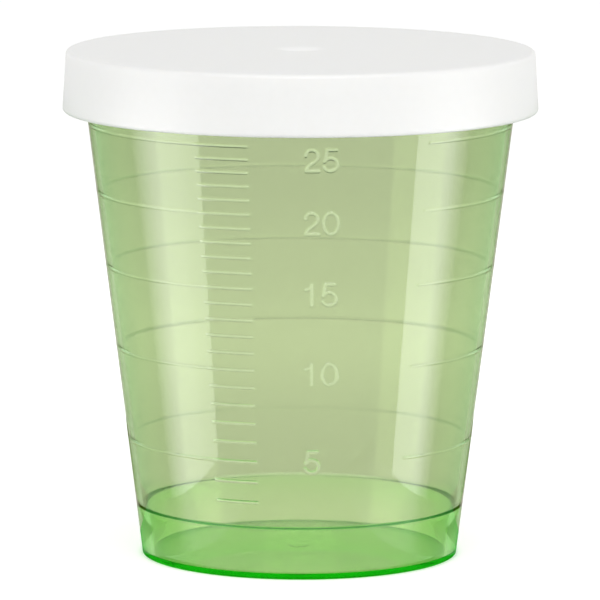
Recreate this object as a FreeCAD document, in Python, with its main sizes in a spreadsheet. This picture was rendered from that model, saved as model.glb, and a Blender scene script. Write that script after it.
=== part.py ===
"""A clear graduated medicine cup with a push-on lid, in millimetres, millilitres and degrees.

The cup stands on z = 0 with its axis along Z. Its scale is read from the front, which faces -Y.
Azimuths are counted from the front, positive towards +X.
"""
import FreeCAD, Part
import os
import Sketcher
from FreeCAD import Placement, Rotation, Vector

# Driving sizes
SIZES = {
    # Outside of the cup: one cone from the base to the rim
    "base_diameter": 26.3,
    "mouth_diameter": 36.6,
    "cup_height": 41.3,
    "base_chamfer": 0.2,
    # Inside of the cup: an even wall down to the ledge, and a thicker one below it
    "wall": 0.5,
    "floor_thickness": 0.5,
    "ledge_height": 4.3,
    "ledge_width": 0.45,
    # Middle of the floor, pushed up so that the gate mark stays off the table
    "plateau_diameter": 20.0,
    "plateau_rise": 0.25,
    "plateau_slant": 0.15,
    "gate_mark_diameter": 1.6,
    "gate_mark_height": 0.12,
    # Rim of the cup: a bead outside that the lid snaps over
    "rim_bead_width": 0.35,
    "rim_bead_height": 1.2,
    "rim_bead_slant": 0.35,
    "rim_chamfer": 0.2,
    # Scale: raised lines at whole millilitres
    "first_line": 3,
    "last_line": 25,
    "long_line_step": 5,
    "line_width": 0.36,
    "line_relief": 0.1,
    "line_root": 0.05,
    "line_start_azimuth": -14.5,
    "short_line_angle": 15.9,
    "long_line_angle": 308.0,
    # Lid
    "lid_top_thickness": 1.05,
    "lid_wall": 0.75,
    "lid_clearance": 0.18,
    "skirt_depth": 4.1,
    "skirt_draft": 0.09,
    "lip_depth": 1.85,
    "lip_flare": 0.15,
    "skirt_inner_draft": 0.15,
    "shoulder_rounding": 0.8,
    "shoulder_flats": 4,
    "lip_chamfer": 0.25,
    "snap_bead_width": 0.9,
    "snap_root": 0.2,
    "snap_clearance": 0.04,
    "snap_drop": 0.45,
    "gate_dish_diameter": 4.6,
    "gate_dish_floor_diameter": 2.8,
    "gate_dish_depth": 0.12,
}

# Sizes worked out from the driving ones: radii in mm, volumes in cubic mm
DERIVED = {
    "slope": "(Sizes.mouth_diameter - Sizes.base_diameter) / 2 / Sizes.cup_height",
    "base_radius": "Sizes.base_diameter / 2",
    "plateau_radius": "Sizes.plateau_diameter / 2",
    "plateau_height": "Sizes.floor_thickness + Sizes.plateau_rise",
    "recess_radius": "plateau_radius - Sizes.floor_thickness / 2",
    "bead_bottom": "Sizes.cup_height - Sizes.rim_bead_height",
    "bead_bottom_radius": "base_radius + slope * bead_bottom",
    "rim_radius": "Sizes.mouth_diameter / 2 + Sizes.rim_bead_width",
    "mouth_inner_radius": "Sizes.mouth_diameter / 2 - Sizes.wall",
    "ledge_inner_radius": "base_radius + slope * Sizes.ledge_height - Sizes.wall",
    "ledge_edge_radius": "ledge_inner_radius - Sizes.ledge_width",
    "floor_radius": "base_radius + slope * Sizes.floor_thickness - Sizes.wall - Sizes.ledge_width",
    "foot_volume": "pi / 3 * (Sizes.ledge_height - Sizes.floor_thickness)"
                   " * (floor_radius ^ 2 + floor_radius * ledge_edge_radius + ledge_edge_radius ^ 2)",
    "ledge_volume": "foot_volume - pi * plateau_radius ^ 2 * Sizes.plateau_rise",
    "skirt_inner_radius": "rim_radius + Sizes.lid_clearance",
    "lid_radius": "skirt_inner_radius + Sizes.lid_wall",
    "lip_radius": "lid_radius + Sizes.skirt_draft + Sizes.lip_flare",
    "snap_crest_radius": "rim_radius + Sizes.snap_clearance",
    "snap_depth": "Sizes.rim_bead_height + Sizes.snap_drop",
}

NEAR = 0.001

doc = FreeCAD.newDocument("MedicineCup")


def fill_sheet(name, cells):
    """A sheet with a name in column A and its value, which has that name as alias, in column B."""
    sheet = doc.addObject("Spreadsheet::Sheet", name)
    for row, (alias, content) in enumerate(cells.items(), 1):
        sheet.set(f"A{row}", alias)
        sheet.setAlias(f"B{row}", alias)
        sheet.set(f"B{row}", content)
    return sheet


sizes = fill_sheet("Sizes", {alias: str(number) for alias, number in SIZES.items()})
doc.recompute()
scale_lines = range(int(sizes.first_line), int(sizes.last_line) + 1)


def line_alias(millilitres):
    return f"line_height_{millilitres}"


# Above the ledge the inside is a cone's frustum, so the height of a level follows from the
# cube root of the volume below it
for millilitres in scale_lines:
    DERIVED[line_alias(millilitres)] = (
        "Sizes.ledge_height + (cbrt(3 * slope"
        f" * ({millilitres} * 1000 - ledge_volume) / pi + ledge_inner_radius ^ 3)"
        " - ledge_inner_radius) / slope")
derived = fill_sheet("Derived", {alias: f"={formula}" for alias, formula in DERIVED.items()})
doc.recompute()


def value(expression):
    """The present value of an expression that names cells of the two sheets."""
    return float(sizes.evalExpression(expression))


def new_body(label):
    body = doc.addObject("PartDesign::Body", label.capitalize())
    body.Label = label
    return body


def new_sketch(body, name, role, offset=Placement()):
    """An empty sketch on one of the body's own origin planes."""
    sketch = body.newObject("Sketcher::SketchObject", name)
    plane = next(item for item in body.Origin.OriginFeatures if item.Role == role)
    sketch.AttachmentSupport = (plane, [""])
    sketch.MapMode = "FlatFace"
    sketch.AttachmentOffset = offset
    return sketch


def bind(sketch, constraint, name, expression):
    """Adds one dimension, named, whose value follows an expression."""
    index = sketch.addConstraint(constraint)
    sketch.renameConstraint(index, name)
    sketch.setExpression(f"Constraints.{name}", expression)


def place_point(sketch, geometry, point, name, radius, height):
    """Fixes one point of a section by its radius and height, or puts it on the axis."""
    if radius == "0":
        sketch.addConstraint(Sketcher.Constraint("PointOnObject", geometry, point, -2))
    elif radius:
        across = Sketcher.Constraint("DistanceX", -1, 1, geometry, point, value(radius))
        bind(sketch, across, f"{name}_radius", radius)
    if height == "0":
        sketch.addConstraint(Sketcher.Constraint("PointOnObject", geometry, point, -1))
    elif height:
        up = Sketcher.Constraint("DistanceY", -1, 1, geometry, point, value(height))
        bind(sketch, up, f"{name}_height", height)


def outline(sketch, corners):
    """A closed outline through named corners, each given by its radius and height.

    Where a corner shares its radius or height with the one before it, the line between them is
    vertical or level instead of being dimensioned twice.
    """
    first = sketch.GeometryCount
    points = [Vector(value(radius), value(height), 0) for name, radius, height in corners]
    following = points[1:] + points[:1]
    sketch.addGeometry([Part.LineSegment(a, b) for a, b in zip(points, following)], False)
    for step in range(len(corners)):
        after = first + (step + 1) % len(corners)
        sketch.addConstraint(Sketcher.Constraint("Coincident", first + step, 2, after, 1))
    for step, (name, radius, height) in enumerate(corners):
        if step and radius != "0" and radius == corners[step - 1][1]:
            sketch.addConstraint(Sketcher.Constraint("Vertical", first + step - 1))
            radius = None
        elif step and height != "0" and height == corners[step - 1][2]:
            sketch.addConstraint(Sketcher.Constraint("Horizontal", first + step - 1))
            height = None
        place_point(sketch, first + step, 1, name, radius, height)


def revolve(body, name, sketch, kind="Revolution", angle=None):
    """Turns a section about Z: all the way round, or by an angle to both sides of its plane."""
    feature = body.newObject(f"PartDesign::{kind}", name)
    feature.Profile = sketch
    feature.ReferenceAxis = (sketch, ["V_Axis"])
    if "AllowMultiFace" in feature.PropertiesList:
        feature.AllowMultiFace = True
    feature.Angle = 360
    if angle:
        feature.Midplane = True
        feature.setExpression("Angle", angle)
    doc.recompute()
    return feature


def ring_names(feature, radius, height):
    """The names of a feature's edges that are circles of this radius at this height."""
    names = []
    for number, edge in enumerate(feature.Shape.Edges, 1):
        curve = edge.Curve
        if not isinstance(curve, Part.Circle):
            continue
        if abs(curve.Radius - value(radius)) < NEAR and abs(curve.Center.z - value(height)) < NEAR:
            names.append(f"Edge{number}")
    if not names:
        raise RuntimeError(f"no ring of radius {radius} at height {height}")
    return names


def chamfer_rings(body, name, size_expression, rings):
    """Takes the sharpness off circular edges, each given by its radius and height."""
    base = body.Tip
    edges = [edge for radius, height in rings for edge in ring_names(base, radius, height)]
    chamfer = body.newObject("PartDesign::Chamfer", name)
    chamfer.Base = (base, edges)
    chamfer.Size = value(size_expression)
    chamfer.setExpression("Size", size_expression)
    doc.recompute()
    return chamfer


def turned_plane(azimuth):
    """Where a section lies that faces a given azimuth, counted from the front."""
    return Placement(Vector(), Rotation(Vector(0, 1, 0), azimuth - 90))


def line_section(sketch, millilitres):
    """The section of one scale line: a low ridge that rises to an edge from a root in the wall."""
    level = f"Derived.{line_alias(millilitres)}"
    surface = f"Derived.base_radius + Derived.slope * {level}"
    root = f"{surface} - Sizes.line_root"
    crest = f"{surface} + Sizes.line_relief"
    tag = f"line_{millilitres}"
    outline(sketch, [
        (f"{tag}_root_low", root, f"{level} - Sizes.line_width / 2"),
        (f"{tag}_root_high", root, f"{level} + Sizes.line_width / 2"),
        (f"{tag}_crest", crest, level),
    ])


def scale_ring(body, name, lines, angle, middle_azimuth):
    """All scale lines of one length, turned together about the axis."""
    sketch = new_sketch(body, f"{name}Sections", "XZ_Plane", turned_plane(0))
    sketch.setExpression("AttachmentOffset.Rotation.Angle", f"{middle_azimuth} - 90")
    for millilitres in lines:
        line_section(sketch, millilitres)
    return revolve(body, name, sketch, angle=angle)


def make_cup():
    """The cup: a turned shell with a nesting ledge, a raised floor, a rim bead and its scale."""
    body = new_body("cup")

    outside = new_sketch(body, "CupOutsideSection", "XZ_Plane")
    outline(outside, [
        ("axis_foot", "0", "0"),
        ("base", "Derived.base_radius", "0"),
        ("bead_root", "Derived.bead_bottom_radius", "Derived.bead_bottom"),
        ("bead_low", "Derived.rim_radius", "Derived.bead_bottom + Sizes.rim_bead_slant"),
        ("bead_high", "Derived.rim_radius", "Sizes.cup_height"),
        ("axis_top", "0", "Sizes.cup_height"),
    ])
    revolve(body, "CupOutside", outside)

    inside = new_sketch(body, "CupInsideSection", "XZ_Plane")
    outline(inside, [
        ("axis_floor", "0", "Derived.plateau_height"),
        ("plateau_edge", "Derived.plateau_radius - Sizes.plateau_slant", "Derived.plateau_height"),
        ("plateau_foot", "Derived.plateau_radius", "Sizes.floor_thickness"),
        ("floor_edge", "Derived.floor_radius", "Sizes.floor_thickness"),
        ("ledge_edge", "Derived.ledge_edge_radius", "Sizes.ledge_height"),
        ("ledge_corner", "Derived.ledge_inner_radius", "Sizes.ledge_height"),
        ("mouth", "Derived.mouth_inner_radius", "Sizes.cup_height"),
        ("axis_mouth", "0", "Sizes.cup_height"),
    ])
    revolve(body, "CupInside", inside, "Groove")

    recess = new_sketch(body, "RecessSection", "XZ_Plane")
    outline(recess, [
        ("axis_recess", "0", "0"),
        ("recess_mouth", "Derived.recess_radius", "0"),
        ("recess_edge", "Derived.recess_radius - Sizes.plateau_slant", "Sizes.plateau_rise"),
        ("mark_edge", "Sizes.gate_mark_diameter / 2", "Sizes.plateau_rise"),
        ("mark_rim", "Sizes.gate_mark_diameter / 2", "Sizes.plateau_rise - Sizes.gate_mark_height"),
        ("mark_axis", "0", "Sizes.plateau_rise - Sizes.gate_mark_height"),
    ])
    revolve(body, "Recess", recess, "Groove")

    chamfer_rings(body, "BaseEdge", "Sizes.base_chamfer", [("Derived.base_radius", "0")])
    chamfer_rings(body, "RimEdges", "Sizes.rim_chamfer", [
        ("Derived.rim_radius", "Sizes.cup_height"),
        ("Derived.mouth_inner_radius", "Sizes.cup_height"),
    ])

    long_step = int(sizes.long_line_step)
    short_lines = [line for line in scale_lines if line % long_step]
    long_lines = [line for line in scale_lines if line % long_step == 0]
    scale_ring(body, "ShortLines", short_lines, "Sizes.short_line_angle",
               "Sizes.line_start_azimuth - Sizes.short_line_angle / 2")
    scale_ring(body, "LongLines", long_lines, "Sizes.long_line_angle",
               "Sizes.line_start_azimuth - Sizes.long_line_angle / 2")
    return body


def shoulder_corners():
    """The lid's rounded shoulder as corners on a quarter circle, joined by short flats."""
    flats = int(sizes.shoulder_flats)
    corners = []
    for step in range(flats + 1):
        turn = 90 * step / flats
        corners.append((
            f"shoulder_{step}",
            f"Derived.lid_radius - Sizes.shoulder_rounding * (1 - sin({turn}))",
            f"Sizes.lid_top_thickness - Sizes.shoulder_rounding * (1 - cos({turn}))",
        ))
    return corners


def make_lid():
    """The lid: a drafted cap whose underside lies on the rim and whose bead hooks below it.

    It is drawn with the underside of its top at height 0 and raised onto the rim.
    """
    body = new_body("lid")

    outside = new_sketch(body, "LidOutsideSection", "XZ_Plane")
    outline(outside, [
        ("axis_top", "0", "Sizes.lid_top_thickness"),
        *shoulder_corners(),
        ("lip_start", "Derived.lid_radius + Sizes.skirt_draft", "Sizes.lip_depth - Sizes.skirt_depth"),
        ("lip_end", "Derived.lip_radius", "-Sizes.skirt_depth"),
        ("axis_low", "0", "-Sizes.skirt_depth"),
    ])
    revolve(body, "LidOutside", outside)

    inside = new_sketch(body, "LidInsideSection", "XZ_Plane")
    outline(inside, [
        ("axis_underside", "0", "0"),
        ("corner", "Derived.skirt_inner_radius", "0"),
        ("mouth", "Derived.skirt_inner_radius + Sizes.skirt_inner_draft", "-Sizes.skirt_depth"),
        ("axis_mouth", "0", "-Sizes.skirt_depth"),
    ])
    revolve(body, "LidInside", inside, "Groove")

    chamfer_rings(body, "LipEdge", "Sizes.lip_chamfer",
                  [("Derived.lip_radius", "-Sizes.skirt_depth")])

    bead = new_sketch(body, "SnapBeadSection", "XZ_Plane")
    bead_root = "Derived.skirt_inner_radius + Sizes.snap_root"
    outline(bead, [
        ("snap_low", bead_root, "-Derived.snap_depth - Sizes.snap_bead_width / 2"),
        ("snap_high", bead_root, "-Derived.snap_depth + Sizes.snap_bead_width / 2"),
        ("snap_crest", "Derived.snap_crest_radius", "-Derived.snap_depth"),
    ])
    revolve(body, "SnapBead", bead)

    dish = new_sketch(body, "GateDishSection", "XZ_Plane")
    dish_floor = "Sizes.lid_top_thickness - Sizes.gate_dish_depth"
    outline(dish, [
        ("dish_axis", "0", dish_floor),
        ("dish_floor", "Sizes.gate_dish_floor_diameter / 2", dish_floor),
        ("dish_edge", "Sizes.gate_dish_diameter / 2", "Sizes.lid_top_thickness"),
        ("dish_top", "0", "Sizes.lid_top_thickness"),
    ])
    revolve(body, "GateDish", dish, "Groove")

    body.setExpression("Placement.Base.z", "Sizes.cup_height")
    return body


def check(bodies):
    """Stops where an object failed or a shape isn't one valid solid."""
    for item in doc.Objects:
        if "Invalid" in item.State or "Error" in item.State:
            raise RuntimeError(f"{item.Label} failed: {item.State}")
    for body in bodies:
        shape = body.Shape
        if shape.isNull() or not shape.isValid() or len(shape.Solids) != 1:
            raise RuntimeError(f"{body.Label} isn't one valid solid")


parts = [make_cup(), make_lid()]
doc.recompute()
check(parts)

os.makedirs("parts", exist_ok=True)
for body in parts:
    body.Shape.exportStep(f"parts/{body.Label}.step")
    box = body.Shape.optimalBoundingBox()
    print(f"{body.Label}: {body.Shape.Volume:.1f} cubic mm, {box.XLength:.2f} x {box.YLength:.2f},"
          f" z {box.ZMin:.2f} to {box.ZMax:.2f}")
for millilitres in scale_lines:
    print(f"{millilitres} ml at {value('Derived.' + line_alias(millilitres)):.2f} mm")
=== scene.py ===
"""Dresses a medicine cup: the clear green graduated cup and its white push-on lid.

Lengths are in millimetres and are turned into metres where a mesh, lamp or camera is made.
Azimuths are in degrees from the front, which faces -Y, positive towards +X.
"""
import bpy
import math
import numpy as np
from mathutils import Matrix, Vector


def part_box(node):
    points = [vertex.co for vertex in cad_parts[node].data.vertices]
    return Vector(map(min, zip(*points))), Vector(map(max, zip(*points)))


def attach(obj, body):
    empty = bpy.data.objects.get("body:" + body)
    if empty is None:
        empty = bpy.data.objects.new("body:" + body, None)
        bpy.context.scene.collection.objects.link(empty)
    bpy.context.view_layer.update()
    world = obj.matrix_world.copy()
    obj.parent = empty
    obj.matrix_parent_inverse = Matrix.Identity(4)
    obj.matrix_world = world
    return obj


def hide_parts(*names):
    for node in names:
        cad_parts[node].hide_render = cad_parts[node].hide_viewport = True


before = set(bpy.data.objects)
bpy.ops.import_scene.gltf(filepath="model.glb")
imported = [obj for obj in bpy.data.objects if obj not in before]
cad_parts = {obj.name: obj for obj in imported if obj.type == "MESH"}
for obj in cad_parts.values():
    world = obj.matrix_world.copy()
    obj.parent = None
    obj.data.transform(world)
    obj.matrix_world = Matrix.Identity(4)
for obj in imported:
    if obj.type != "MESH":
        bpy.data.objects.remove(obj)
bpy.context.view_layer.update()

MM = 0.001
cup_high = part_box("cup")[1] / MM
lid_low, lid_high = (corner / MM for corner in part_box("lid"))

# The cup's shell
CUP_HEIGHT = cup_high.z
RIM_RADIUS = cup_high.x
RIM_BEAD_WIDTH = 0.35
RIM_BEAD_HEIGHT = 1.2
RIM_BEAD_SLANT = 0.35
MOUTH_RADIUS = RIM_RADIUS - RIM_BEAD_WIDTH
BASE_RADIUS = 13.15
SLOPE = (MOUTH_RADIUS - BASE_RADIUS) / CUP_HEIGHT
WALL = 0.5
FLOOR = 0.5
LEDGE_HEIGHT = 4.3
LEDGE_WIDTH = 0.45
LEDGE_FILLET = 0.26
PLATEAU_RADIUS = 10.0
PLATEAU_RISE = 0.25
GATE_MARK_RADIUS = 0.8
GATE_MARK_HEIGHT = 0.12

# The floor and the ledge are drawn a little lower than the scale is worked out with
DRAWN_LOWER = 0.08
FLOOR_TOP = FLOOR - DRAWN_LOWER
LEDGE_TOP = LEDGE_HEIGHT - DRAWN_LOWER

# The raised floor and the recess under it run out in a long slant with wide curves
RECESS_RADIUS = PLATEAU_RADIUS - FLOOR / 2
SLANT_TOP = RECESS_RADIUS - 6.0
SLANT_FOOT = RECESS_RADIUS + 1.5
SLANT_TOP_CURVE = 70
RECESS_FOOT_CURVE = 40
FLOOR_FOOT_CURVE = 20

# The scale: raised lines at whole millilitres, with a number at each long one
FIRST_LINE = 3
LAST_LINE = 25
LONG_STEP = 5
LINE_CREST = 0.055
LINE_FOOT = 0.15
SHORT_RELIEF = 0.045
LONG_RELIEF = 0.03
LOW_AT_SIDES = 0.35
LINE_START = -13.7
SHORT_ANGLE = 15.55
LONG_ANGLE = 310.3
LINE_END_TAPER = 0.5
NUMBER_LEFT = 0.31
NUMBER_DROP = {5: -0.08, 10: 0.25, 15: 0.41, 20: 0.66, 25: 1.08}
DIGIT_HEIGHT = 2.0
DIGIT_ADVANCE = {"1": 1.38, "2": 1.46, "5": 1.46}
STROKE_HALF = 0.13
STROKE_BEVEL = 0.1
DIGIT_RELIEF = 0.06
NUMBERS_END = 13

# The long lines' painted highlight in front and painted shade at the sides behind and in the middle
# behind, where the short lines' painted highlight is 1, and the azimuths between which one passes into the
# next
PAINTED_HIGHLIGHT_IN_FRONT = 0.35
PAINTED_SHADE_AT_SIDES = -0.6
PAINTED_SHADE_BEHIND = -0.15
INTO_SIDES = (86, 96)
INTO_BEHIND = (142, 155)

# The far side of the ledge's inner corner carries a painted highlight, between these azimuths and heights
LEDGE_HIGHLIGHT_AZIMUTHS = (140, 155)
LEDGE_HIGHLIGHT_HEIGHTS = (LEDGE_TOP + 0.01, LEDGE_TOP + 0.16)

# Names of what the mesh stores for its material
PAINTED_LIGHT_ATTRIBUTE = "painted_light_and_shade"
IN_FLOOR = "in_floor"

# The mesh: steps in a rounded corner, the points beside its arc, and the distances between rows
ROUND_STEPS = 5
FLAT_SUPPORT = 0.05
LONGEST_ROW = 2.5
LINE_ROWS = (-0.22, -0.16, -0.12, -0.085, -0.05, 0, 0.05, 0.085, 0.12, 0.16, 0.22)
DIGIT_ROW = 0.05
LEAST_ROW = 0.012
END_GAP = 0.02
SPARE_ROW = 1.1
SPARE_GAP = 0.5

# The degrees between its columns
PLAIN_COLUMN = 2
TICK_COLUMN = 1.2
LINE_END_COLUMN = 0.2
DIGIT_COLUMN = 0.19

# The lid
LID_TOP = lid_high.z
LID_BOTTOM = lid_low.z
LIP_RADIUS = lid_high.x
LID_RADIUS = 19.5
LIP_START_RADIUS = 19.67
LIP_START_HEIGHT = 39.05
SKIRT_INNER_RADIUS = 18.83
SKIRT_INNER_DRAFT = 0.15
SNAP_CREST_RADIUS = 18.69
SNAP_HEIGHT = 39.65
SNAP_HALF = 0.3
TOP_DOME = 0.06
GATE_DISH_RADIUS = 2.4
GATE_DISH_DEPTH = 0.24
GATE_DISH_STEPS = 14
LID_ROUND_STEPS = 8
LID_COLUMNS = 240

# The camera, as the photograph was taken
CAMERA_DISTANCE = 527.6
CAMERA_PITCH = 8.3
CAMERA_ROLL = 0.15
AIM_HEIGHT = 21.25
PICTURE_SIDE = 600
FOCAL_PIXELS = 6318.3
SENSOR = 36.0


def inner_radius(height):
    """The inside radius of the thin wall above the ledge."""
    return BASE_RADIUS + SLOPE * height - WALL


def line_height(millilitres):
    """Where the inside holds this volume: a cone's frustum above the ledge and the foot below it."""
    ledge_radius = inner_radius(LEDGE_HEIGHT)
    edge_radius = ledge_radius - LEDGE_WIDTH
    floor_radius = inner_radius(FLOOR) - LEDGE_WIDTH
    foot = math.pi / 3 * (LEDGE_HEIGHT - FLOOR) * (
        floor_radius ** 2 + floor_radius * edge_radius + edge_radius ** 2)
    above = millilitres * 1000 - foot + math.pi * PLATEAU_RADIUS ** 2 * PLATEAU_RISE
    return LEDGE_HEIGHT + (np.cbrt(3 * SLOPE * above / math.pi + ledge_radius ** 3) - ledge_radius) / SLOPE


def rounded_path(corners, steps=ROUND_STEPS):
    """Points along a section whose corners are (radius, height, rounding).

    Each rounded corner gets an arc, and a point a little way along either side that keeps the
    flats beside it flat when the shading is smooth.
    """
    points = []
    for place, (radius, height, rounding) in enumerate(corners):
        here = np.array([radius, height], float)
        if not rounding:
            points.append(here)
            continue
        to_last = np.array(corners[place - 1][:2], float) - here
        to_next = np.array(corners[place + 1][:2], float) - here
        to_last /= np.linalg.norm(to_last)
        to_next /= np.linalg.norm(to_next)
        half = math.acos(np.clip(to_last @ to_next, -1, 1)) / 2
        reach = rounding / math.tan(half)
        middle = to_last + to_next
        centre = here + middle / np.linalg.norm(middle) * rounding / math.sin(half)
        start = here + to_last * reach
        end = here + to_next * reach
        points.append(start + to_last * FLAT_SUPPORT)
        first = math.atan2(*(start - centre)[::-1])
        last = math.atan2(*(end - centre)[::-1])
        turn = (last - first + math.pi) % (2 * math.pi) - math.pi
        for step in range(steps + 1):
            angle = first + turn * step / steps
            points.append(centre + rounding * np.array([math.cos(angle), math.sin(angle)]))
        points.append(end + to_next * FLAT_SUPPORT)
    return points


def grey(strength):
    """A neutral colour of this strength."""
    return (strength, strength, strength)


def smooth_step(low, high, number):
    """0 below low, 1 above high, and smooth between them."""
    part = np.clip((number - low) / (high - low), 0, 1)
    return part * part * (3 - 2 * part)


def from_front(azimuth):
    """The azimuth between -180 and 180, so that 0 is in front."""
    return (azimuth + 180) % 360 - 180


def arc_points(centre, radii, start, end, count=22):
    """Points on an ellipse's arc, in degrees."""
    angles = np.radians(np.linspace(start, end, count))
    return np.array([centre[0] + radii[0] * np.cos(angles), centre[1] + radii[1] * np.sin(angles)]).T


def curve_points(start, pull_start, pull_end, end, count=16):
    """Points on a cubic curve."""
    part = np.linspace(0, 1, count)[:, None]
    corners = [np.array(corner, float) for corner in (start, pull_start, pull_end, end)]
    return ((1 - part) ** 3 * corners[0] + 3 * part * (1 - part) ** 2 * corners[1]
            + 3 * part ** 2 * (1 - part) * corners[2] + part ** 3 * corners[3])


def digit_strokes(digit):
    """The middle lines of the strokes of a plain 0, 1, 2 or 5, from its lower left corner."""
    low = STROKE_HALF
    high = DIGIT_HEIGHT - STROKE_HALF
    if digit == "0":
        return [arc_points((0.73, 1.0), (0.6, high - 1.0), 0, 360, 40)]
    if digit == "1":
        return [np.array([(0.64, low), (0.64, high)]),
                curve_points((0.64, high), (0.58, 1.6), (0.4, 1.47), (0.16, 1.42))]
    if digit == "2":
        top = arc_points((0.62, 1.38), (0.5, high - 1.38), 178, -28)
        slant = curve_points(top[-1], (0.9, 0.78), (0.2, 0.62), (0.14, low))
        return [top, slant, np.array([(0.14, low), (1.2, low)])]
    bowl = arc_points((0.68, 0.66), (0.57, 0.66 - low), 152, -158, 34)
    return [np.array([(1.15, high), (0.38, high)]),
            np.array([(0.38, high), (0.22, 0.93)]),
            bowl]


def stroke_distance(across, up, strokes):
    """How far points lie from the nearest stroke."""
    nearest = np.full(across.shape, 9.0)
    for stroke in strokes:
        for (x0, y0), (x1, y1) in zip(stroke[:-1], stroke[1:]):
            dx, dy = x1 - x0, y1 - y0
            along = np.clip(((across - x0) * dx + (up - y0) * dy) / (dx * dx + dy * dy), 0, 1)
            gap = np.hypot(across - x0 - along * dx, up - y0 - along * dy)
            nearest = np.minimum(nearest, gap)
    return nearest


def scale_relief(azimuth, height):
    """How far the scale stands out, and its painted light and shade: 1 for a painted highlight and below 0
    for painted shade.

    Its lines fade at both ends, and the short lines and numbers carry a painted highlight. Where the long
    ones run on past the short ones they are lower, lowest at the sides, with less painted highlight in
    front and painted shade from the sides round the back.
    """
    lines = np.zeros(azimuth.shape)
    digits = np.zeros(azimuth.shape)
    back = (LINE_START - azimuth) % 360
    for millilitres in range(FIRST_LINE, LAST_LINE + 1):
        reach = SHORT_ANGLE if millilitres % LONG_STEP else LONG_ANGLE
        inside = np.minimum(back, reach - back)
        ends = smooth_step(0, LINE_END_TAPER, inside)
        off = np.abs(height - line_height(millilitres))
        lines = np.maximum(lines, ends * (1 - smooth_step(LINE_CREST, LINE_FOOT, off)))
    across = np.radians(from_front(azimuth)) * (BASE_RADIUS + SLOPE * height) - NUMBER_LEFT
    edge = STROKE_HALF + STROKE_BEVEL / 2
    for millilitres, drop in NUMBER_DROP.items():
        up = height - (line_height(millilitres) - drop) + DIGIT_HEIGHT / 2
        left = 0
        for digit in str(millilitres):
            gap = stroke_distance(across - left, up, digit_strokes(digit))
            digits = np.maximum(digits, smooth_step(-edge, -edge + STROKE_BEVEL, -gap))
            left += DIGIT_ADVANCE.get(digit, 0)
    onward = smooth_step(SHORT_ANGLE - LINE_END_TAPER, SHORT_ANGLE + LINE_END_TAPER, back)
    facing = np.abs(np.cos(np.radians(azimuth)))
    low = LONG_RELIEF * (LOW_AT_SIDES + (1 - LOW_AT_SIDES) * facing)
    relief = lines * (SHORT_RELIEF + (low - SHORT_RELIEF) * onward)
    turned = np.abs(from_front(azimuth))
    # Painted highlight on the long lines in front and painted shade at the sides and behind
    faint = (PAINTED_HIGHLIGHT_IN_FRONT + (PAINTED_SHADE_AT_SIDES - PAINTED_HIGHLIGHT_IN_FRONT) * smooth_step(*INTO_SIDES, turned)
             + (PAINTED_SHADE_BEHIND - PAINTED_SHADE_AT_SIDES) * smooth_step(*INTO_BEHIND, turned))
    painted_light_and_shade = lines * (1 + (faint - 1) * onward)
    return np.maximum(relief, DIGIT_RELIEF * digits), np.where(digits > 0, digits, painted_light_and_shade)


def thinned(numbers, least):
    """Sorted numbers without those nearer than least to the one before."""
    kept = []
    for number in sorted(numbers):
        if not kept or number - kept[-1] > least:
            kept.append(float(number))
    return kept


def line_rows(lines):
    """Heights of the mesh rows that draw these scale lines."""
    return [line_height(line) + offset for line in lines for offset in LINE_ROWS]


def outside_rows(low, high, section):
    """Row heights on the cone for one stretch of azimuth: plain, ticks or numbers."""
    lines = range(FIRST_LINE, LAST_LINE + 1)
    wanted = [line for line in lines if line % LONG_STEP == 0 or section == "ticks"]
    rows = line_rows(wanted)
    if section == "numbers":
        for millilitres, drop in NUMBER_DROP.items():
            bottom = line_height(millilitres) - drop - DIGIT_HEIGHT / 2
            rows += list(np.arange(bottom - 0.12, bottom + DIGIT_HEIGHT + 0.14, DIGIT_ROW))
    fine = thinned(rows, LEAST_ROW)
    spare = [number for number in np.arange(low + SPARE_ROW, high - SPARE_GAP, SPARE_ROW)
             if min(abs(number - row) for row in fine) > SPARE_GAP]
    inside = [row for row in fine + spare if low + END_GAP < row < high - END_GAP]
    return [low] + sorted(inside) + [high]


def column_azimuths():
    """Azimuths of the mesh columns, with the stretch that begins at each of them."""
    short_end = LINE_START - SHORT_ANGLE
    long_end = LINE_START - LONG_ANGLE + 360
    stretches = (
        (short_end - 1, PLAIN_COLUMN, "plain"),
        (short_end + 1, LINE_END_COLUMN, "ticks"),
        (LINE_START - 1, TICK_COLUMN, "ticks"),
        (LINE_START + 1, LINE_END_COLUMN, "ticks"),
        (0, PLAIN_COLUMN, "plain"),
        (NUMBERS_END, DIGIT_COLUMN, "numbers"),
        (long_end - 1, PLAIN_COLUMN, "plain"),
        (long_end + 1, LINE_END_COLUMN, "plain"),
        (180, PLAIN_COLUMN, "plain"),
    )
    columns = []
    start = -180
    for end, step, section in stretches:
        count = max(1, round((end - start) / step))
        columns += [(start + (end - start) * n / count, section) for n in range(count)]
        start = end
    return columns


def new_object(name, vertices, faces):
    """A smooth mesh object from points in millimetres."""
    mesh = bpy.data.meshes.new(name)
    mesh.from_pydata([tuple(vertex * MM) for vertex in vertices], [], faces)
    mesh.validate()
    mesh.shade_smooth()
    obj = bpy.data.objects.new(name, mesh)
    bpy.context.scene.collection.objects.link(obj)
    return obj


def set_attribute(obj, name, kind, field, numbers):
    """Stores a number or colour for each point of a mesh, for its material to read."""
    attribute = obj.data.attributes.new(name, kind, "POINT")
    attribute.data.foreach_set(field, [float(number) for number in numbers])


def turned_point(radius, height, azimuth):
    """The point of a section turned about the axis."""
    angle = math.radians(azimuth)
    return np.array([radius * math.sin(angle), -radius * math.cos(angle), height])


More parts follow.
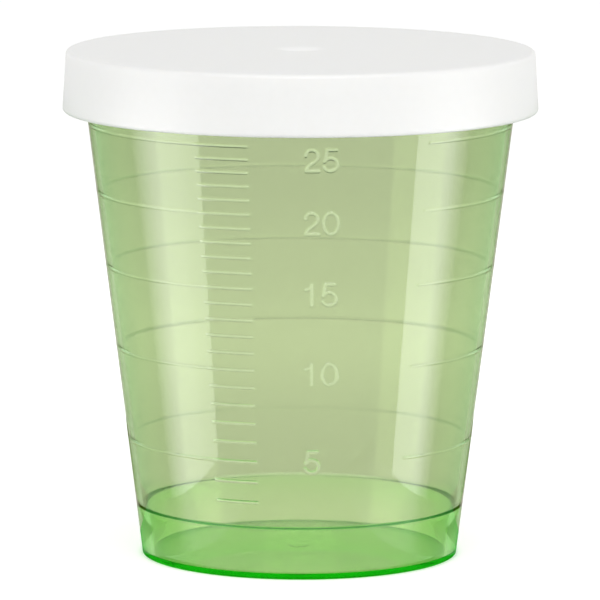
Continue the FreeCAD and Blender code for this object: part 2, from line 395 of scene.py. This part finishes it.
def turned_solid(name, path, count):
    """A closed solid from a section that starts and ends on the axis."""
    azimuths = [360 * n / count for n in range(count)]
    vertices = [np.array([0, 0, path[0][1]])]
    for azimuth in azimuths:
        vertices += [turned_point(radius, height, azimuth) for radius, height in path[1:-1]]
    vertices.append(np.array([0, 0, path[-1][1]]))
    rows = len(path) - 2
    faces = []
    for column in range(count):
        here = 1 + column * rows
        there = 1 + (column + 1) % count * rows
        faces.append((0, there, here))
        for row in range(rows - 1):
            faces.append((here + row, there + row, there + row + 1, here + row + 1))
        faces.append((here + rows - 1, there + rows - 1, len(vertices) - 1))
    return new_object(name, vertices, faces)


def cup_sections():
    """The cup's section in two parts: up to the foot of the outside cone, and from its top on.

    They are cut from one path, whose every rounded corner has its arc and a point at either side.
    """
    plateau = FLOOR_TOP + PLATEAU_RISE
    mark = PLATEAU_RISE - GATE_MARK_HEIGHT
    bead_bottom = CUP_HEIGHT - RIM_BEAD_HEIGHT
    bead_root = BASE_RADIUS + SLOPE * bead_bottom
    ledge = inner_radius(LEDGE_HEIGHT)
    base = [
        (0, mark, 0),
        (GATE_MARK_RADIUS, mark, 0.05),
        (GATE_MARK_RADIUS, PLATEAU_RISE, 0.05),
        (SLANT_TOP, PLATEAU_RISE, SLANT_TOP_CURVE),
        (SLANT_FOOT, 0, RECESS_FOOT_CURVE),
        (BASE_RADIUS, 0, 0.1),
    ]
    rim_and_inside = [
        (bead_root, bead_bottom, 0.1),
        (RIM_RADIUS, bead_bottom + RIM_BEAD_SLANT, 0.12),
        (RIM_RADIUS, CUP_HEIGHT, 0.2),
        (MOUTH_RADIUS - WALL, CUP_HEIGHT, 0.2),
        (ledge, LEDGE_TOP, LEDGE_FILLET),
        (ledge - LEDGE_WIDTH, LEDGE_TOP, 0.06),
        (inner_radius(FLOOR) - LEDGE_WIDTH, FLOOR_TOP, 0.04),
        (SLANT_FOOT, FLOOR_TOP, FLOOR_FOOT_CURVE),
        (SLANT_TOP, plateau, SLANT_TOP_CURVE),
        (0, plateau, 0),
    ]
    path = rounded_path(base + rim_and_inside)
    base_points = 1 + (len(base) - 1) * (ROUND_STEPS + 3)
    return path[:base_points], path[base_points:]


def spread_rows(path, longest):
    """The path with points added so that no step is much longer than longest."""
    points = [path[0]]
    for last, here in zip(path[:-1], path[1:]):
        count = max(1, math.ceil(np.linalg.norm(here - last) / longest))
        points += [last + (here - last) * n / count for n in range(1, count + 1)]
    return points


def make_cup():
    """One closed shell with its scale standing out of the outside cone."""
    underside, rest = cup_sections()
    rest = spread_rows(rest, LONGEST_ROW)
    low, high = underside[-1][1], rest[0][1]
    columns = column_azimuths()
    count = len(columns)
    tilt = math.atan(SLOPE)
    rows_of = {section: outside_rows(low, high, section) for section in ("plain", "ticks", "numbers")}
    vertices = [np.array([0, 0, underside[0][1]]), np.array([0, 0, rest[-1][1]])]
    painted_light_and_shade_by_point = {}
    of_floor = {0, 1}
    below, outside, above = [], [], []
    for place, (azimuth, section) in enumerate(columns):
        heights = sorted(set(rows_of[section]) | set(rows_of[columns[place - 1][1]]))
        relief, painted_light_and_shade = scale_relief(np.full(len(heights), azimuth), np.array(heights))
        below.append(range(len(vertices), len(vertices) + len(underside) - 2))
        of_floor.update(below[-1])
        vertices += [turned_point(radius, height, azimuth) for radius, height in underside[1:-1]]
        outside.append({height: len(vertices) + n for n, height in enumerate(heights)})
        # The scale's painted highlight and painted shade are kept on the points for the material
        for height, out, shade in zip(heights, relief, painted_light_and_shade):
            radius = BASE_RADIUS + SLOPE * height + out * math.cos(tilt)
            painted_light_and_shade_by_point[len(vertices)] = shade
            vertices.append(turned_point(radius, height - out * math.sin(tilt), azimuth))
        above.append(range(len(vertices), len(vertices) + len(rest) - 2))
        # A painted highlight on the far side of the ledge's inner corner
        pale = smooth_step(*LEDGE_HIGHLIGHT_AZIMUTHS, abs(from_front(azimuth)))
        for radius, height in rest[1:-1]:
            if height < FLOOR_TOP + 0.03 or radius < PLATEAU_RADIUS:
                of_floor.add(len(vertices))
            if LEDGE_HIGHLIGHT_HEIGHTS[0] < height < LEDGE_HIGHLIGHT_HEIGHTS[1]:
                painted_light_and_shade_by_point[len(vertices)] = pale
            vertices.append(turned_point(radius, height, azimuth))

    faces = []
    for place, (azimuth, section) in enumerate(columns):
        after = (place + 1) % count
        here, there = outside[place], outside[after]
        faces.append((0, below[after][0], below[place][0]))
        strip = list(zip([*below[place], here[low]], [*below[after], there[low]]))
        faces += [(a, b, d, c) for (a, b), (c, d) in zip(strip[:-1], strip[1:])]
        rows = rows_of[section]
        for bottom, top in zip(rows[:-1], rows[1:]):
            right = [there[height] for height in sorted(there) if bottom <= height <= top]
            left = [here[height] for height in sorted(here, reverse=True) if bottom <= height <= top]
            faces.append(tuple(right + left))
        strip = list(zip([here[high], *above[place]], [there[high], *above[after]]))
        faces += [(a, b, d, c) for (a, b), (c, d) in zip(strip[:-1], strip[1:])]
        faces.append((above[place][-1], above[after][-1], 1))
    shell = new_object("cup_shell", vertices, faces)
    set_attribute(shell, PAINTED_LIGHT_ATTRIBUTE, "FLOAT", "value", [painted_light_and_shade_by_point.get(n, 0) for n in range(len(vertices))])
    set_attribute(shell, IN_FLOOR, "FLOAT", "value", [n in of_floor for n in range(len(vertices))])
    return shell


def make_lid():
    """One closed cap: dished gate mark, rounded shoulder, flared lip and the bead inside."""
    def skirt_inside(height):
        return SKIRT_INNER_RADIUS + SKIRT_INNER_DRAFT * (CUP_HEIGHT - height) / (CUP_HEIGHT - LID_BOTTOM)

    dish = []
    for step in range(GATE_DISH_STEPS):
        part = step / GATE_DISH_STEPS
        dip = GATE_DISH_DEPTH * (0.5 + 0.5 * math.cos(math.pi * part))
        dish.append(np.array([GATE_DISH_RADIUS * part, LID_TOP - dip]))
    corners = [
        (GATE_DISH_RADIUS, LID_TOP, 0),
        (LID_RADIUS, LID_TOP - TOP_DOME, 0.35),
        (LIP_START_RADIUS, LIP_START_HEIGHT, 0.6),
        (LIP_RADIUS, LID_BOTTOM, 0.3),
        (skirt_inside(LID_BOTTOM), LID_BOTTOM, 0.15),
        (skirt_inside(SNAP_HEIGHT - SNAP_HALF), SNAP_HEIGHT - SNAP_HALF, 0.1),
        (SNAP_CREST_RADIUS, SNAP_HEIGHT, 0.15),
        (skirt_inside(SNAP_HEIGHT + SNAP_HALF), SNAP_HEIGHT + SNAP_HALF, 0.1),
        (SKIRT_INNER_RADIUS, CUP_HEIGHT, 0.25),
        (0, CUP_HEIGHT, 0),
    ]
    path = dish + rounded_path(corners, steps=LID_ROUND_STEPS)
    return turned_solid("lid_cap", spread_rows(path, LONGEST_ROW), LID_COLUMNS)


def new_material(name):
    """A node material with its tree, empty but for the output."""
    material = bpy.data.materials.new(name)
    material.use_nodes = True
    tree = material.node_tree
    tree.nodes.clear()
    output = tree.nodes.new("ShaderNodeOutputMaterial")
    return material, tree, output


def add_node(tree, kind, settings=None, **inputs):
    """A node with its settings and the values of its sockets."""
    node = tree.nodes.new(kind)
    for key, setting in (settings or {}).items():
        setattr(node, key, setting)
    for key, number in inputs.items():
        node.inputs[key.replace("_", " ")].default_value = number
    return node


# Sockets of a colour mix node
MIX_SHARE = 0
MIX_FIRST = 6
MIX_SECOND = 7
MIX_RESULT = 2


def mix_colours(tree, share, first, second, blend_type="MIX"):
    """The colour of the output first, mixed with the plain colour second by the output share."""
    mix = add_node(tree, "ShaderNodeMix", {"data_type": "RGBA", "blend_type": blend_type})
    mix.inputs[MIX_SECOND].default_value = second
    tree.links.new(share, mix.inputs[MIX_SHARE])
    tree.links.new(first, mix.inputs[MIX_FIRST])
    return mix.outputs[MIX_RESULT]


def noise_bump(tree, scale, strength, distance, detail=3.0):
    """A bump made of fine noise in the object's own coordinates."""
    place = tree.nodes.new("ShaderNodeTexCoord")
    noise = add_node(tree, "ShaderNodeTexNoise", Scale=scale, Detail=detail)
    bump = add_node(tree, "ShaderNodeBump", Strength=strength, Distance=distance)
    tree.links.new(place.outputs["Object"], noise.inputs["Vector"])
    tree.links.new(noise.outputs["Fac"], bump.inputs["Height"])
    return bump, noise


def noise_range(tree, noise, low, high):
    """A number that follows the noise from low to high."""
    remap = add_node(tree, "ShaderNodeMapRange", From_Min=0.3, From_Max=0.7, To_Min=low, To_Max=high)
    tree.links.new(noise.outputs["Fac"], remap.inputs["Value"])
    return remap


def fill_ramp(ramp, stops):
    """Sets the stops of a colour ramp, each a place from 0 to 1 and a colour."""
    for place, colour in stops[1:-1]:
        ramp.color_ramp.elements.new(place)
    for stop, (place, colour) in zip(ramp.color_ramp.elements, stops):
        stop.position = place
        stop.color = colour


FLOOR_GREEN = (0.5, 0.8, 0.31, 1)
FOOT_LOW_GREEN = (0.9, 0.87, 0.67, 1)
FOOT_MIDDLE_GREEN = (0.8, 0.82, 0.58, 1)
FOOT_TOP_GREEN = (0.7, 0.8, 0.49, 1)
WALL_GREEN = (0.667, 0.676, 0.515, 1)
FOOT_EDGE_GREEN = (0.66, 0.86, 0.58, 1)
# Colours of the painted highlight and the painted shade on the scale and the ledge
PAINTED_HIGHLIGHT_GREEN = (1.0, 1.0, 0.9, 1)
PAINTED_SHADE_GREEN = (0.25, 0.35, 0.2, 1)

# The wall's colour by its share of the ledge's height, and the share up to which it is the foot's
GREEN_BY_HEIGHT = ((0.1, FOOT_LOW_GREEN), (0.5, FOOT_MIDDLE_GREEN), (0.92, FOOT_TOP_GREEN), (1, WALL_GREEN))
FOOT_SHARE = 0.97


def green_colour(tree):
    """The wall's colour by height, a greener one for the floor, a painted highlight on the raised scale and
    the ledge's far corner, and painted shade on the long lines.

    The foot's thick wall is deeper where it is seen aslant, as its colour runs through more of it.
    """
    place = tree.nodes.new("ShaderNodeTexCoord")
    parts = tree.nodes.new("ShaderNodeSeparateXYZ")
    share = add_node(tree, "ShaderNodeMapRange", From_Max=LEDGE_HEIGHT * MM)
    by_height = tree.nodes.new("ShaderNodeValToRGB")
    fill_ramp(by_height, GREEN_BY_HEIGHT)
    tree.links.new(place.outputs["Object"], parts.inputs[0])
    tree.links.new(parts.outputs["Z"], share.inputs["Value"])
    tree.links.new(share.outputs["Result"], by_height.inputs[0])

    facing = add_node(tree, "ShaderNodeLayerWeight", Blend=0.5)
    aslant = add_node(
        tree, "ShaderNodeMapRange", {"interpolation_type": "SMOOTHSTEP"}, From_Min=0.15, From_Max=0.5)
    in_foot = add_node(tree, "ShaderNodeMath", {"operation": "LESS_THAN"})
    in_foot.inputs[1].default_value = FOOT_SHARE
    thick = add_node(tree, "ShaderNodeMath", {"operation": "MULTIPLY"})
    tree.links.new(facing.outputs["Facing"], aslant.inputs["Value"])
    tree.links.new(share.outputs["Result"], in_foot.inputs[0])
    tree.links.new(aslant.outputs["Result"], thick.inputs[0])
    tree.links.new(in_foot.outputs[0], thick.inputs[1])

    in_floor = add_node(tree, "ShaderNodeAttribute", {"attribute_name": IN_FLOOR})
    painted_light_and_shade = add_node(tree, "ShaderNodeAttribute", {"attribute_name": PAINTED_LIGHT_ATTRIBUTE})
    painted_shade_share = add_node(tree, "ShaderNodeMath", {"operation": "MULTIPLY"})
    painted_shade_share.inputs[1].default_value = -1
    tree.links.new(painted_light_and_shade.outputs["Fac"], painted_shade_share.inputs[0])

    wall = mix_colours(tree, thick.outputs[0], by_height.outputs[0], FOOT_EDGE_GREEN, "MULTIPLY")
    plain = mix_colours(tree, in_floor.outputs["Fac"], wall, FLOOR_GREEN)
    # Painted highlight on the scale and the ledge's far corner, then painted shade on the long lines
    with_painted_highlight = mix_colours(tree, painted_light_and_shade.outputs["Fac"], plain, PAINTED_HIGHLIGHT_GREEN)
    return mix_colours(tree, painted_shade_share.outputs[0], with_painted_highlight, PAINTED_SHADE_GREEN)


def clear_green():
    """Clear tinted plastic: its colour deepens with thickness, and lamps shine through it."""
    material, tree, output = new_material("clear_green_plastic_look")
    plastic = add_node(tree, "ShaderNodeBsdfPrincipled", IOR=1.49, Transmission_Weight=1.0)
    tree.links.new(green_colour(tree), plastic.inputs["Base Color"])
    bump, noise = noise_bump(tree, scale=900.0, strength=0.05, distance=0.00002)
    rough = noise_range(tree, noise, 0.02, 0.06)
    tree.links.new(bump.outputs["Normal"], plastic.inputs["Normal"])
    tree.links.new(rough.outputs["Result"], plastic.inputs["Roughness"])
    lamps = add_node(tree, "ShaderNodeBsdfTransparent", Color=(0.72, 0.88, 0.58, 1))
    path = tree.nodes.new("ShaderNodeLightPath")
    mix = tree.nodes.new("ShaderNodeMixShader")
    tree.links.new(path.outputs["Is Shadow Ray"], mix.inputs[0])
    tree.links.new(plastic.outputs[0], mix.inputs[1])
    tree.links.new(lamps.outputs[0], mix.inputs[2])
    tree.links.new(mix.outputs[0], output.inputs["Surface"])
    tint = add_node(tree, "ShaderNodeVolumeAbsorption", Color=(0.24, 0.9, 0.24, 1), Density=250.0)
    tree.links.new(tint.outputs[0], output.inputs["Volume"])
    return material


LID_WHITE = (0.86, 0.86, 0.845, 1)
LID_GRAIN_WHITE = (0.885, 0.885, 0.87, 1)
# The white of the painted highlight in the gate dish
DISH_HIGHLIGHT_WHITE = (0.98, 0.98, 0.97, 1)


def paler_in_dish(tree, colour):
    """The colour with a painted highlight, whitest in the middle of the gate dish."""
    place = tree.nodes.new("ShaderNodeTexCoord")
    flat = add_node(tree, "ShaderNodeVectorMath", {"operation": "MULTIPLY"})
    flat.inputs[1].default_value = (1, 1, 0)
    away = add_node(tree, "ShaderNodeVectorMath", {"operation": "LENGTH"})
    share = add_node(
        tree, "ShaderNodeMapRange", {"interpolation_type": "SMOOTHSTEP"},
        From_Min=0.3 * GATE_DISH_RADIUS * MM, From_Max=GATE_DISH_RADIUS * MM, To_Min=1.0, To_Max=0.0)
    tree.links.new(place.outputs["Object"], flat.inputs[0])
    tree.links.new(flat.outputs["Vector"], away.inputs[0])
    tree.links.new(away.outputs["Value"], share.inputs["Value"])
    return mix_colours(tree, share.outputs["Result"], colour, DISH_HIGHLIGHT_WHITE)


def satin_white():
    """White moulded plastic: soft light under the surface, a faint grain and a painted highlight in the
    gate dish.
    """
    material, tree, output = new_material("white_plastic_look")
    plastic = add_node(
        tree, "ShaderNodeBsdfPrincipled",
        Subsurface_Weight=0.25, Subsurface_Scale=0.001, IOR=1.5)
    plastic.inputs["Subsurface Radius"].default_value = (1.0, 0.95, 0.85)
    bump, noise = noise_bump(tree, scale=1400.0, strength=0.12, distance=0.00002)
    rough = noise_range(tree, noise, 0.36, 0.5)
    shade = add_node(tree, "ShaderNodeMix", {"data_type": "RGBA"})
    shade.inputs[MIX_FIRST].default_value = LID_WHITE
    shade.inputs[MIX_SECOND].default_value = LID_GRAIN_WHITE
    tree.links.new(noise.outputs["Fac"], shade.inputs[MIX_SHARE])
    tree.links.new(paler_in_dish(tree, shade.outputs[MIX_RESULT]), plastic.inputs["Base Color"])
    tree.links.new(bump.outputs["Normal"], plastic.inputs["Normal"])
    tree.links.new(rough.outputs["Result"], plastic.inputs["Roughness"])
    tree.links.new(plastic.outputs[0], output.inputs["Surface"])
    return material


def seen_as_white(tree):
    """1 for a ray that comes from the camera, a reflection or clear plastic, and 0 for light."""
    path = tree.nodes.new("ShaderNodeLightPath")
    first = add_node(tree, "ShaderNodeMath", {"operation": "MAXIMUM"})
    second = add_node(tree, "ShaderNodeMath", {"operation": "MAXIMUM"})
    tree.links.new(path.outputs["Is Camera Ray"], first.inputs[0])
    tree.links.new(path.outputs["Is Glossy Ray"], first.inputs[1])
    tree.links.new(first.outputs[0], second.inputs[0])
    tree.links.new(path.outputs["Is Transmission Ray"], second.inputs[1])
    return second.outputs[0]


# The floor lies a little below the foot. Its glow goes by the distance from the cup's axis, with
# painted shade under the cup, a dark green painted shadow under the foot's ring and a painted pool
# of light in a wide ring
FLOOR_GAP = 0.02
FLOOR_REACH = 4000
FLOOR_COLOUR = 0.8
# A dark green painted shadow on the floor under the foot's ring
PAINTED_SHADOW_UNDER_FOOT = (0.0, 0.2, 0.01)
FLOOR_POOL = (
    (0, grey(0.42)), (10.9, grey(0.42)), (11.5, PAINTED_SHADOW_UNDER_FOOT), (12.9, PAINTED_SHADOW_UNDER_FOOT), (BASE_RADIUS, grey(0.5)),
    (60, grey(0.5)), (118, grey(0.68)), (175, grey(0.54)), (250, grey(0.42)))
WORLD_LIGHT = 0.66


def pool_of_light(tree):
    """The floor's glow: painted shade under the cup, a green painted shadow under the foot's ring and a
    painted pool of light in a wide ring.
    """
    place = tree.nodes.new("ShaderNodeTexCoord")
    away = add_node(tree, "ShaderNodeVectorMath", {"operation": "LENGTH"})
    reach = FLOOR_POOL[-1][0] * MM
    share = add_node(tree, "ShaderNodeMapRange", From_Max=reach)
    ramp = tree.nodes.new("ShaderNodeValToRGB")
    ramp.color_ramp.interpolation = "EASE"
    fill_ramp(ramp, [(distance * MM / reach, (*glow, 1)) for distance, glow in FLOOR_POOL])
    tree.links.new(place.outputs["Object"], away.inputs[0])
    tree.links.new(away.outputs["Value"], share.inputs["Value"])
    tree.links.new(share.outputs["Result"], ramp.inputs[0])
    return ramp.outputs[0]


def make_floor():
    """A plain pale floor that shows as white and keeps the cup's shadow, with painted shade and light in
    its glow.
    """
    corners = [np.array([x * FLOOR_REACH, y * FLOOR_REACH, -FLOOR_GAP])
               for x, y in ((-1, -1), (1, -1), (1, 1), (-1, 1))]
    floor = new_object("floor", corners, [(0, 1, 2, 3)])
    material, tree, output = new_material("floor_look")
    pale = add_node(tree, "ShaderNodeBsdfDiffuse", Color=(FLOOR_COLOUR,) * 3 + (1,))
    glow = tree.nodes.new("ShaderNodeEmission")
    both = tree.nodes.new("ShaderNodeAddShader")
    tree.links.new(seen_as_white(tree), glow.inputs["Strength"])
    tree.links.new(pool_of_light(tree), glow.inputs["Color"])
    tree.links.new(pale.outputs[0], both.inputs[0])
    tree.links.new(glow.outputs[0], both.inputs[1])
    tree.links.new(both.outputs[0], output.inputs["Surface"])
    floor.data.materials.append(material)


def make_world():
    """White to the eye, and an even light at a plain level."""
    world = bpy.data.worlds.new("studio")
    bpy.context.scene.world = world
    world.use_nodes = True
    tree = world.node_tree
    tree.nodes.clear()
    output = tree.nodes.new("ShaderNodeOutputWorld")
    background = add_node(tree, "ShaderNodeBackground", Color=(1, 1, 1, 1))
    strength = add_node(tree, "ShaderNodeMapRange", To_Min=WORLD_LIGHT, To_Max=1.0)
    tree.links.new(seen_as_white(tree), strength.inputs["Value"])
    tree.links.new(strength.outputs["Result"], background.inputs["Strength"])
    tree.links.new(background.outputs[0], output.inputs["Surface"])


def add_softbox(name, azimuth, elevation, distance, width, height, radiance):
    """A rectangular lamp that faces the middle of the cup."""
    lamp = bpy.data.lights.new(name, "AREA")
    lamp.shape = "RECTANGLE"
    lamp.size = width * MM
    lamp.size_y = height * MM
    lamp.energy = radiance * math.pi * width * height * MM * MM
    obj = bpy.data.objects.new(name, lamp)
    bpy.context.scene.collection.objects.link(obj)
    aside, up = math.radians(azimuth), math.radians(elevation)
    away = Vector((math.sin(aside) * math.cos(up), -math.cos(aside) * math.cos(up), math.sin(up)))
    middle = Vector((0, 0, CUP_HEIGHT / 2 * MM))
    obj.location = middle + away * distance * MM
    obj.rotation_euler = away.to_track_quat("Z", "Y").to_euler()
    return obj


def add_card(name, columns, behind=False):
    """A glowing card from columns of (first end, second end, colour).

    It shows only in gloss, or with behind only through clear plastic.
    """
    vertices = [np.array(corner, float) for low, high, colour in columns for corner in (low, high)]
    faces = [(2 * n, 2 * n + 2, 2 * n + 3, 2 * n + 1) for n in range(len(columns) - 1)]
    card = new_object(name, vertices, faces)
    colours = [number for low, high, colour in columns for end in (low, high) for number in (*colour, 1)]
    set_attribute(card, "glow", "FLOAT_COLOR", "color", colours)
    material, tree, output = new_material(name + "_look")
    colour = add_node(tree, "ShaderNodeAttribute", {"attribute_name": "glow"})
    glow = add_node(tree, "ShaderNodeEmission", Strength=1.0)
    tree.links.new(colour.outputs["Color"], glow.inputs["Color"])
    tree.links.new(glow.outputs[0], output.inputs["Surface"])
    card.data.materials.append(material)
    card.visible_glossy = not behind
    card.visible_transmission = behind
    card.visible_camera = False
    card.visible_diffuse = False
    card.visible_volume_scatter = False
    card.visible_shadow = False


# The cards beside the cup: how far aside, where they start and end, and how far they lean back
CARD_SIDE = 27.5
CARD_FOOT = 0.1
CARD_TOP = 36.0
CARD_LEAN = 2.2
CARD_END = 220.0
LOW_BACK_REACH = (8, 60)
BEHIND_REACH = (2, 12)
FOOT_RING = 1.5

# Their glow, as (place, strength or colour): by y on the cards that run back, by x on the others
NEAR_GLOW = (0.1, 0.4, 0.1)
DIM_GLOW = (0.1, 0.11, 0.01)
FAR_GLOW = (0.5, 0.45, 0.4)
# The dark ring at the foot is a painted contact shadow
PAINTED_FOOT_SHADOW = (0.005, 0.02, 0.005)
LEFT_GLOW = ((-28.3, 3.9), (-23.6, 4.1), (-20.1, 4.8), (-14.6, 4.8), (-12.6, 3.8))
RIGHT_GLOW = ((-22.6, 4.4), (-21.0, 4.8), (-13.2, 4.7), (-11.6, 3.5), (-10.2, 2.1))
BACK_GLOW = (
    (-7, NEAR_GLOW), (11, NEAR_GLOW), (16, DIM_GLOW), (27, DIM_GLOW), (38, (0.35, 0.28, 0.26)),
    (55, FAR_GLOW), (CARD_END, FAR_GLOW))
LOW_GLOW = (
    (-32, grey(1)), (-20, grey(1.8)), (-11, grey(1.8)), (-7.5, grey(0.5)), (-4, grey(0.25)),
    (0, NEAR_GLOW), (8, NEAR_GLOW))
LOW_BACK_GLOW = ((BASE_RADIUS, FAR_GLOW), (18.8, FAR_GLOW), (20.5, DIM_GLOW), (CARD_SIDE, DIM_GLOW))
BEHIND_GLOW = (
    (BASE_RADIUS, (0.85, 0.9, 0.8)), (15.0, (0.75, 0.8, 0.65)), (17.5, (0.5, 0.6, 0.4)),
    (19.0, (0.5, 0.6, 0.4)))


def upright_columns(side, glow):
    """Columns of a leaning card beside the cup, with a colour at each y."""
    return [((side * CARD_SIDE, y + CARD_LEAN, CARD_FOOT), (side * CARD_SIDE, y, CARD_TOP), colour)
            for y, colour in glow]


def low_columns(side, glow):
    """Columns of a card that lies from the foot to the upright card, with a colour at each y."""
    return [((side * BASE_RADIUS, y, CARD_FOOT), (side * CARD_SIDE, y, CARD_FOOT), colour)
            for y, colour in glow]


def back_columns(side, glow, reach):
    """Columns of a card that lies beside and behind the foot, with a colour at each x."""
    front, back = reach
    return [((side * x, front, CARD_FOOT), (side * x, back, CARD_FOOT), colour) for x, colour in glow]


def make_cards():
    """At each side cards that glow in front for the streaks and are dark behind for the edges.

    The last two kinds deepen the foot: one is seen through its sides, and a dark ring, a painted
    contact shadow, is seen in its lowest edge.
    """
    for side, name, streak in ((-1, "left", LEFT_GLOW), (1, "right", RIGHT_GLOW)):
        glow = [(y, grey(strength)) for y, strength in streak] + list(BACK_GLOW)
        add_card("card_" + name, upright_columns(side, glow))
        add_card("low_card_" + name, low_columns(side, LOW_GLOW))
        add_card("low_back_card_" + name, back_columns(side, LOW_BACK_GLOW, LOW_BACK_REACH))
        add_card("behind_card_" + name, back_columns(side, BEHIND_GLOW, BEHIND_REACH), behind=True)
    # A dark ring round the front of the foot, a painted contact shadow seen in its lowest edge
    ring = [(turned_point(BASE_RADIUS, 0, azimuth), turned_point(BASE_RADIUS + FOOT_RING, 0, azimuth),
             PAINTED_FOOT_SHADOW) for azimuth in range(-90, 91, 5)]
    add_card("painted_foot_shadow_card", ring)


def make_lamps():
    """Softboxes for the gloss and the light through the cup, and fills for the plain surfaces."""
    for lamp in (add_softbox("softbox_left", -77, 4.6, 450, 310, 110, 2.5),
                 add_softbox("softbox_right", 79, 4.6, 450, 250, 110, 2.5),
                 add_softbox("softbox_high", 0, 38, 900, 900, 700, 2.3)):
        lamp.visible_diffuse = False
    for lamp in (add_softbox("fill_front", 0, 30, 900, 900, 700, 1.19),
                 add_softbox("fill_left", -80, 16, 900, 900, 700, 0.82),
                 add_softbox("fill_right", 70, 16, 900, 900, 700, 1.2)):
        lamp.visible_glossy = False
        lamp.visible_transmission = False


def make_camera():
    """The camera of the photograph: far off, a little above, and level but for a slight roll."""
    data = bpy.data.cameras.new("camera")
    data.sensor_width = SENSOR
    data.lens = SENSOR * FOCAL_PIXELS / PICTURE_SIDE
    data.clip_start = 0.01
    data.clip_end = 20.0
    camera = bpy.data.objects.new("camera", data)
    bpy.context.scene.collection.objects.link(camera)
    pitch = math.radians(CAMERA_PITCH)
    away = Vector((0, -math.cos(pitch), math.sin(pitch)))
    camera.location = (Vector((0, 0, AIM_HEIGHT)) + away * CAMERA_DISTANCE) * MM
    roll = Matrix.Rotation(math.radians(CAMERA_ROLL), 4, "Z")
    look = away.to_track_quat("Z", "Y").to_matrix().to_4x4() @ roll
    camera.rotation_euler = look.to_euler()
    bpy.context.scene.camera = camera


cup = make_cup()
cup.data.materials.append(clear_green())
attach(cup, "cup")
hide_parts("cup")

lid = make_lid()
lid.data.materials.append(satin_white())
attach(lid, "lid")
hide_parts("lid")

make_floor()
make_world()
make_cards()
make_lamps()
make_camera()

scene = bpy.context.scene
scene.view_settings.view_transform = "Standard"
scene.cycles.max_bounces = 32
scene.cycles.glossy_bounces = 24
scene.cycles.transmission_bounces = 24
scene.cycles.transparent_max_bounces = 16
